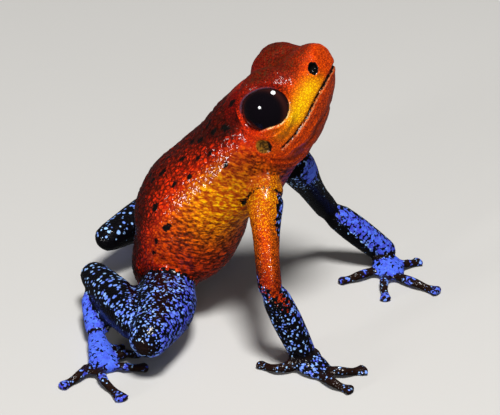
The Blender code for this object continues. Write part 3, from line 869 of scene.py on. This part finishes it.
def linear(code):
    """An sRGB hex colour as linear light."""
    shares = [int(code[k : k + 2], 16) / 255 for k in (1, 3, 5)]
    return (*[s / 12.92 if s <= 0.04045 else ((s + 0.055) / 1.055) ** 2.4 for s in shares], 1.0)


def add(tree, kind, inputs=None, **settings):
    """Adds a node with its settings, and sets or links its inputs."""
    made = tree.nodes.new(kind)
    for key, value in settings.items():
        setattr(made, key, value)
    for key, value in (inputs or {}).items():
        if isinstance(value, bpy.types.NodeSocket):
            tree.links.new(value, made.inputs[key])
        else:
            made.inputs[key].default_value = value
    return made


def set_ramp(made, stops, interpolation="LINEAR"):
    """Gives a Color Ramp node its stops, as places and hex colours."""
    ramp = made.color_ramp
    ramp.interpolation = interpolation
    while len(ramp.elements) < len(stops):
        ramp.elements.new(0.5)
    for element, (place, code) in zip(ramp.elements, stops):
        element.position = place
        element.color = linear(code)


def new_material(name):
    material = bpy.data.materials.new(name)
    material.use_nodes = True
    material.node_tree.nodes.clear()
    return material, material.node_tree


def frog_skin():
    """Living amphibian skin, granular and always wet: matt pigment cells in it under a thin clear film of
    water, which gives each granule a small hard light."""
    material, tree = new_material("wet_frog_skin")
    place = add(tree, "ShaderNodeTexCoord").outputs["Object"]
    field = {
        name: add(tree, "ShaderNodeAttribute", attribute_name=name).outputs["Fac"] for name in FIELDS
    }
    clouds = {
        name: add(tree, "ShaderNodeTexNoise", {"Vector": place, "Scale": 1 / (width * MM), "Detail": detail})
        for name, (width, detail) in CLOUDS.items()
    }
    grain = clouds["grain"].outputs["Fac"]
    wander = clouds["wander"].outputs["Color"]
    shift = add(tree, "ShaderNodeVectorMath", {0: wander, 1: (0.5, 0.5, 0.5)}, operation="SUBTRACT")
    bent, eased = (
        add(
            tree,
            "ShaderNodeVectorMath",
            {0: shift.outputs[0], 1: (reach * MM,) * 3, 2: place},
            operation="MULTIPLY_ADD",
        ).outputs[0]
        for reach in (GRAIN_BEND, CELL_BEND)
    )

    # Finest grains, longer along the trunk on the back and across it on the belly
    belly_stretch = (BELLY_GRAIN[1], BELLY_GRAIN[1], 1)
    back_grain = grain_cells(tree, bent, TRUNK_WAY, BACK_GRAIN[0], (1, 1, BACK_GRAIN[1]))
    fine_grain = grain_cells(tree, bent, TRUNK_WAY, FINE_GRAIN[0], (1, 1, FINE_GRAIN[1]))
    grains = grain_cells(tree, bent, WRINKLE_WAY, BELLY_GRAIN[0], belly_stretch)
    wrinkles = turned_place(tree, place, WRINKLE_WAY, belly_stretch)
    ripples = add(
        tree, "ShaderNodeTexNoise", {"Vector": wrinkles, "Scale": 1 / (BELLY_GRAIN[0] * MM), "Detail": 2.0}
    ).outputs["Fac"]
    ripples = add(
        tree, "ShaderNodeMapRange", {"Value": ripples, 1: 0.40, 2: 0.62, 3: 0.0, 4: 0.26}
    ).outputs[0]
    for share, other in ((0.65, ripples), (field["long"], back_grain), (field["fine"], fine_grain)):
        grains = add(tree, "ShaderNodeMix", {0: share, 2: grains, 3: other}, data_type="FLOAT").outputs[0]
    top = add(
        tree, "ShaderNodeMapRange", {"Value": grains, 1: 0.0, 2: 0.26}, interpolation_type="SMOOTHSTEP"
    ).outputs[0]
    evened = add(tree, "ShaderNodeMath", {0: field["calm"], 1: 0.45}, operation="MULTIPLY").outputs[0]
    top = add(tree, "ShaderNodeMix", {0: evened, 2: top, 3: 0.72}, data_type="FLOAT").outputs[0]
    flake = add(tree, "ShaderNodeMapRange", {"Value": grain, 1: 0.36, 2: 0.64, 3: 0.0, 4: 1.0}).outputs[0]

    # Warm skin, from the belly's orange through the gold of the flank, partly a painted highlight, to the red
    # of the back
    tones = {}
    # Tones over the warm skin, by grain and by the granules' height: painted light on the granules' tops and
    # painted shade in their hollows, and the gold stripe, lighter on its granules' tops as painted light
    for name, share, low, high in (
        ("flake", flake, "#604030", "#F8DCA8"),
        ("top", top, "#100804", "#F0E0C0"),
        ("hollow", top, "#4A2C1C", "#FFFFFF"),
        ("stripe", top, "#B05400", "#FFD000"),
        ("drum", flake, "#2A1A08", "#8A5A14"),
    ):
        inputs = {0: share, 6: linear(low), 7: linear(high)}
        tones[name] = add(tree, "ShaderNodeMix", inputs, data_type="RGBA").outputs[2]
    part = {}
    for name, most in (("sunny", 0.9), ("lid", 0.92), ("crown", 0.7), ("groove", 0.65), ("dusk", 0.75)):
        part[name] = add(tree, "ShaderNodeMath", {0: field[name], 1: most}, operation="MULTIPLY").outputs[0]
    speck = grain
    for operation, other in (("GREATER_THAN", 0.56), ("MULTIPLY", field["crown"]), ("MULTIPLY", 0.85)):
        speck = add(tree, "ShaderNodeMath", {0: speck, 1: other}, operation=operation).outputs[0]
    warm_ramp = add(tree, "ShaderNodeValToRGB", {"Fac": field["tone"]})
    set_ramp(warm_ramp, WARM_STOPS)
    warm = warm_ramp.outputs["Color"]
    for share, tone, blend in (
        # gold of the flank and shoulder, partly its own colour and partly a painted highlight
        (part["sunny"], linear("#F8B400"), "MIX"),
        (part["lid"], linear("#740802"), "MIX"),
        (part["crown"], linear("#561A08"), "MIX"),
        # painted light on the granules' tops, painted shade in their hollows
        (0.55, tones["flake"], "OVERLAY"),
        (0.70, tones["top"], "OVERLAY"),
        (0.55, tones["hollow"], "MULTIPLY"),
        (field["gold"], tones["stripe"], "MIX"),
        # painted shade in the grooves between granules and in the throat's folds
        (part["groove"], linear("#3A0E04"), "MIX"),
        # painted shade low on the trunk, and the darker lower upper arms and neck's sides
        (part["dusk"], linear("#9A6A50"), "MULTIPLY"),
        (speck, linear("#3A2410"), "MIX"),
        (field["ear"], tones["drum"], "MIX"),
    ):
        inputs = {0: share, 6: warm, 7: tone}
        warm = add(tree, "ShaderNodeMix", inputs, data_type="RGBA", blend_type=blend).outputs[2]

    # Cold skin, blue cells that grow and run together over black, each a little different
    large, small = (
        add(tree, "ShaderNodeTexVoronoi", {"Vector": eased, "Scale": 1 / (width * MM)})
        for width in CELL_WIDTHS
    )
    worms = clouds["worms"].outputs["Fac"]
    for operation, other in (("SUBTRACT", 0.5), ("ABSOLUTE", 0.0), ("MULTIPLY", 5.5)):
        worms = add(tree, "ShaderNodeMath", {0: worms, 1: other}, operation=operation).outputs[0]
    spots = small.outputs["Distance"]
    for share, other in ((0.25, worms), (field["dots"], large.outputs["Distance"])):
        spots = add(tree, "ShaderNodeMix", {0: share, 2: spots, 3: other}, data_type="FLOAT").outputs[0]
    kinds = {0: field["dots"], 6: small.outputs["Color"], 7: large.outputs["Color"]}
    kinds = add(tree, "ShaderNodeMix", kinds, data_type="RGBA").outputs[2]
    kinds = add(tree, "ShaderNodeSeparateColor", {"Color": kinds})
    reach = swayed(tree, field["blue"], clouds["blotch"].outputs["Fac"], 0.5)
    reach = swayed(tree, reach, kinds.outputs[0], 0.40)
    margin = add(tree, "ShaderNodeMath", {0: reach, 1: spots}, operation="SUBTRACT").outputs[0]
    spotted = add(
        tree, "ShaderNodeMapRange", {"Value": margin, 1: -0.06, 2: 0.08}, interpolation_type="SMOOTHSTEP"
    ).outputs[0]
    blue_ramp = add(tree, "ShaderNodeValToRGB", {"Fac": swayed(tree, field["blue"], kinds.outputs[1], 0.26)})
    set_ramp(blue_ramp, BLUE_STOPS)

    # The two meet in a grainy edge, where the grooves turn black first
    between = add(tree, "ShaderNodeMath", {0: 1.0, 1: field["warm"]}, operation="SUBTRACT").outputs[0]
    for other in (field["warm"], 6.5):
        between = add(tree, "ShaderNodeMath", {0: between, 1: other}, operation="MULTIPLY").outputs[0]
    edge = {0: 0.4, 1: small.outputs["Distance"]}
    edge = add(tree, "ShaderNodeMath", edge, operation="SUBTRACT").outputs[0]
    for operation, other in (("MULTIPLY", between), ("ADD", field["warm"])):
        edge = add(tree, "ShaderNodeMath", {0: edge, 1: other}, operation=operation).outputs[0]
    meet = add(
        tree, "ShaderNodeMapRange", {"Value": edge, 1: 0.44, 2: 0.56}, interpolation_type="SMOOTHSTEP"
    ).outputs[0]
    broken = add(tree, "ShaderNodeMath", {0: flake, 1: field["pale"]}, operation="MULTIPLY").outputs[0]
    # black flecks, and painted shade in the creases, the mouth, the nostrils, the tympanums' edge and the
    # skin sunk under the eyes
    ragged = swayed(tree, field["mark"], grain, 0.4)
    marked = add(
        tree, "ShaderNodeMapRange", {"Value": ragged, 1: -0.02, 2: 0.03}, interpolation_type="SMOOTHSTEP"
    ).outputs[0]
    colour = linear("#040306")
    for share, tone in (
        (field["brown"], linear("#1C0D07")),
        (spotted, blue_ramp.outputs["Color"]),
        (meet, warm),
        (broken, linear("#E8DC98")),
        (field["grey"], linear("#4A4458")),
        (marked, linear("#0A0706")),
    ):
        colour = add(tree, "ShaderNodeMix", {0: share, 6: colour, 7: tone}, data_type="RGBA").outputs[2]

    relief = grain
    for operation, other in (("MULTIPLY", 0.6), ("ADD", top)):
        relief = add(tree, "ShaderNodeMath", {0: relief, 1: other}, operation=operation).outputs[0]
    bumped = add(tree, "ShaderNodeBump", {"Height": relief, "Distance": GRAIN_DEPTH * MM, "Strength": 0.9})
    # The film of water lies smoother than the skin, and less so on the legs
    hold = {"Value": field["warm"], 1: 0.0, 2: 1.0, 3: 0.6, 4: 0.3}
    hold = add(tree, "ShaderNodeMapRange", hold).outputs[0]
    film = add(tree, "ShaderNodeBump", {"Height": top, "Distance": FILM_DEPTH * MM, "Strength": hold})
    shader = add(
        tree,
        "ShaderNodeBsdfPrincipled",
        {
            "Base Color": colour,
            "Roughness": 0.5,
            "IOR": 1.38,
            "Specular IOR Level": 0.08,
            "Coat Weight": 0.6,
            "Coat Roughness": 0.05,
            "Coat IOR": 1.33,
            "Normal": bumped.outputs[0],
            "Coat Normal": film.outputs[0],
        },
    )
    add(tree, "ShaderNodeOutputMaterial", {"Surface": shader.outputs[0]})
    return material


def swayed(tree, base, pattern, amount):
    """A value moved up and down by a pattern whose middle is a half."""
    for operation, other in (("SUBTRACT", 0.5), ("MULTIPLY", amount), ("ADD", base)):
        pattern = add(tree, "ShaderNodeMath", {0: pattern, 1: other}, operation=operation).outputs[0]
    return pattern


def turned_place(tree, place, way, stretch):
    """Places in a frame turned to one way of the animal's middle plane and stretched there."""
    turn = math.atan2(-way[1], way[2])
    turned = add(
        tree,
        "ShaderNodeMapping",
        {"Vector": place, "Rotation": (turn, 0, 0), "Scale": stretch},
        vector_type="TEXTURE",
    )
    return turned.outputs[0]


def grain_cells(tree, place, way, width, stretch):
    """Distance to the nearest groove between cells that are stretched in a frame turned to one way."""
    cells = add(
        tree,
        "ShaderNodeTexVoronoi",
        {"Vector": turned_place(tree, place, way, stretch), "Scale": 1 / (width * MM)},
        feature="DISTANCE_TO_EDGE",
    )
    return cells.outputs["Distance"]


def eye_cornea():
    """A dark iris under a clear wet cornea: nearly black, with a mirror's small lights."""
    material, tree = new_material("wet_dark_eye")
    iris = add(tree, "ShaderNodeAttribute", attribute_name="iris").outputs["Fac"]
    colour = add(
        tree, "ShaderNodeMix", {0: iris, 6: linear("#09060A"), 7: linear("#2A1210")}, data_type="RGBA"
    )
    shader = add(
        tree,
        "ShaderNodeBsdfPrincipled",
        {
            "Base Color": colour.outputs[2],
            "Roughness": 0.04,
            "IOR": 1.34,
            "Specular IOR Level": 0.4,
        },
    )
    add(tree, "ShaderNodeOutputMaterial", {"Surface": shader.outputs[0]})
    return material


def pale_floor():
    """Matt painted board: even, pale and without gloss."""
    material, tree = new_material("matt_pale_board")
    shader = add(
        tree,
        "ShaderNodeBsdfPrincipled",
        {"Base Color": linear("#C2C0BC"), "Roughness": 0.9, "Specular IOR Level": 0.1},
    )
    add(tree, "ShaderNodeOutputMaterial", {"Surface": shader.outputs[0]})
    return material


def finished(obj, materials):
    """Scales an object's mesh to metres, smooths its shading and gives it its material."""
    obj.data.transform(Matrix.Scale(MM, 4))
    obj.data.polygons.foreach_set("use_smooth", [True] * len(obj.data.polygons))
    for material in materials:
        obj.data.materials.append(material)
    obj.data.update()


def make_skin():
    obj = joined_forms()
    thin_limbs(obj)
    refine_face(obj, nodes_at(Surface(obj.data).points))
    applied(obj, "triangles", "TRIANGULATE")
    surface = Surface(obj.data)
    numbers = nodes_at(surface.points)
    head = is_part(numbers, "head", "eye")
    raise_brows(surface, head)
    open_lids(surface, head)
    carve_face(surface, head)
    set_shoulders(surface, numbers)
    fields = part_fields(surface, numbers)
    cells = grow_granules(surface, fields)
    # Black flecks, and painted shade in the face's slits, pits and sunk edges and in the creases over the
    # arms
    marks_and_shade = np.maximum(head_painted_shade(surface, head), fleck_marks(surface, fields["trunk"] > 0.5))
    marks_and_shade = np.maximum(marks_and_shade, fields["crease"])
    fields["mark"] = np.clip(marks_and_shade, -0.5, 0.5)
    # Painted shade in the grooves between the granules and in the throat's folds
    fields["groove"] = (1 - cells) * fields["coarse"] * (0.35 + 0.65 * fields["long"])
    folds = head * smooth_step(0.2, 1.0, -throat_folds(surface.points))
    fields["groove"] = np.maximum(fields["groove"], 0.95 * folds)
    for name in FIELDS:
        surface.paint(name, fields[name])
    finished(obj, [frog_skin()])
    return obj


def make_eye(side, sign, material):
    """An eyeball with a cornea that stands a little proud of it."""
    bm = bmesh.new()
    bmesh.ops.create_uvsphere(bm, u_segments=72, v_segments=48, radius=1.0)
    mesh = bpy.data.meshes.new(f"eyeball_{side}")
    bm.to_mesh(mesh)
    bm.free()
    obj = bpy.data.objects.new(f"eyeball_{side}", mesh)
    bpy.context.scene.collection.objects.link(obj)
    surface = Surface(mesh)
    middle, axes = eye_frame(sign)
    angle = np.arccos(np.clip(surface.points[:, 2], -1, 1))
    cornea = 1 + CORNEA_RISE * (1 - smooth_step(0.2, 0.95, angle))
    local = surface.points * cornea[:, None] * (EYE_RADIUS, EYE_RADIUS, EYE_DEPTH)
    surface.points = middle + local @ axes
    surface.write()
    surface.paint("iris", bump(np.degrees(angle) - 52, 7))
    bm = bmesh.new()
    bm.from_mesh(mesh)
    bmesh.ops.recalc_face_normals(bm, faces=bm.faces)
    bm.to_mesh(mesh)
    bm.free()
    finished(obj, [material])
    return obj


def stand_camera():
    """The photo's camera, with nothing shifted."""
    eye, right, up, forward = camera_axes()
    data = bpy.data.cameras.new("photo_camera")
    data.sensor_width = SENSOR
    data.lens = PIXELS_PER_MM * CAMERA_DISTANCE * SENSOR / PICTURE[0]
    data.clip_start = 0.01
    camera = bpy.data.objects.new("photo_camera", data)
    bpy.context.scene.collection.objects.link(camera)
    turn = Matrix((right, up, -forward)).transposed().to_4x4()
    camera.matrix_world = Matrix.Translation(eye * MM) @ turn
    bpy.context.scene.camera = camera


def light(name, way, distance, size, power):
    """A round white lamp that looks at the frog's middle from one direction."""
    data = bpy.data.lights.new(name, "AREA")
    data.shape = "DISK"
    data.size = size
    data.energy = power
    lamp = bpy.data.objects.new(name, data)
    bpy.context.scene.collection.objects.link(lamp)
    out = Vector(way).normalized()
    turn = out.to_track_quat("Z", "Y").to_matrix().to_4x4()
    lamp.matrix_world = Matrix.Translation(LAMP_AIM + out * distance) @ turn
    return lamp


skin = make_skin()
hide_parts(*FLESH)
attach(skin, "root")

cornea = eye_cornea()
for side, sign in SIDES:
    eyeball = make_eye(side, sign, cornea)
    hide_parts(f"eye_{side}")
    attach(eyeball, "root")

bm = bmesh.new()
bmesh.ops.create_grid(bm, x_segments=1, y_segments=1, size=FLOOR_HALF)
floor_mesh = bpy.data.meshes.new("floor")
bm.to_mesh(floor_mesh)
bm.free()
floor = bpy.data.objects.new("floor", floor_mesh)
bpy.context.scene.collection.objects.link(floor)
floor.data.materials.append(pale_floor())
floor.visible_glossy = False

world = bpy.data.worlds.new("studio")
world.use_nodes = True
world.node_tree.nodes["Background"].inputs["Color"].default_value = linear(WORLD_TONE)
world.node_tree.nodes["Background"].inputs["Strength"].default_value = WORLD_STRENGTH
bpy.context.scene.world = world
bpy.context.scene.view_settings.view_transform = "Standard"

lamps = {name: light(name, *settings) for name, settings in LAMPS.items()}
lamps["fill"].visible_glossy = False
stand_camera()
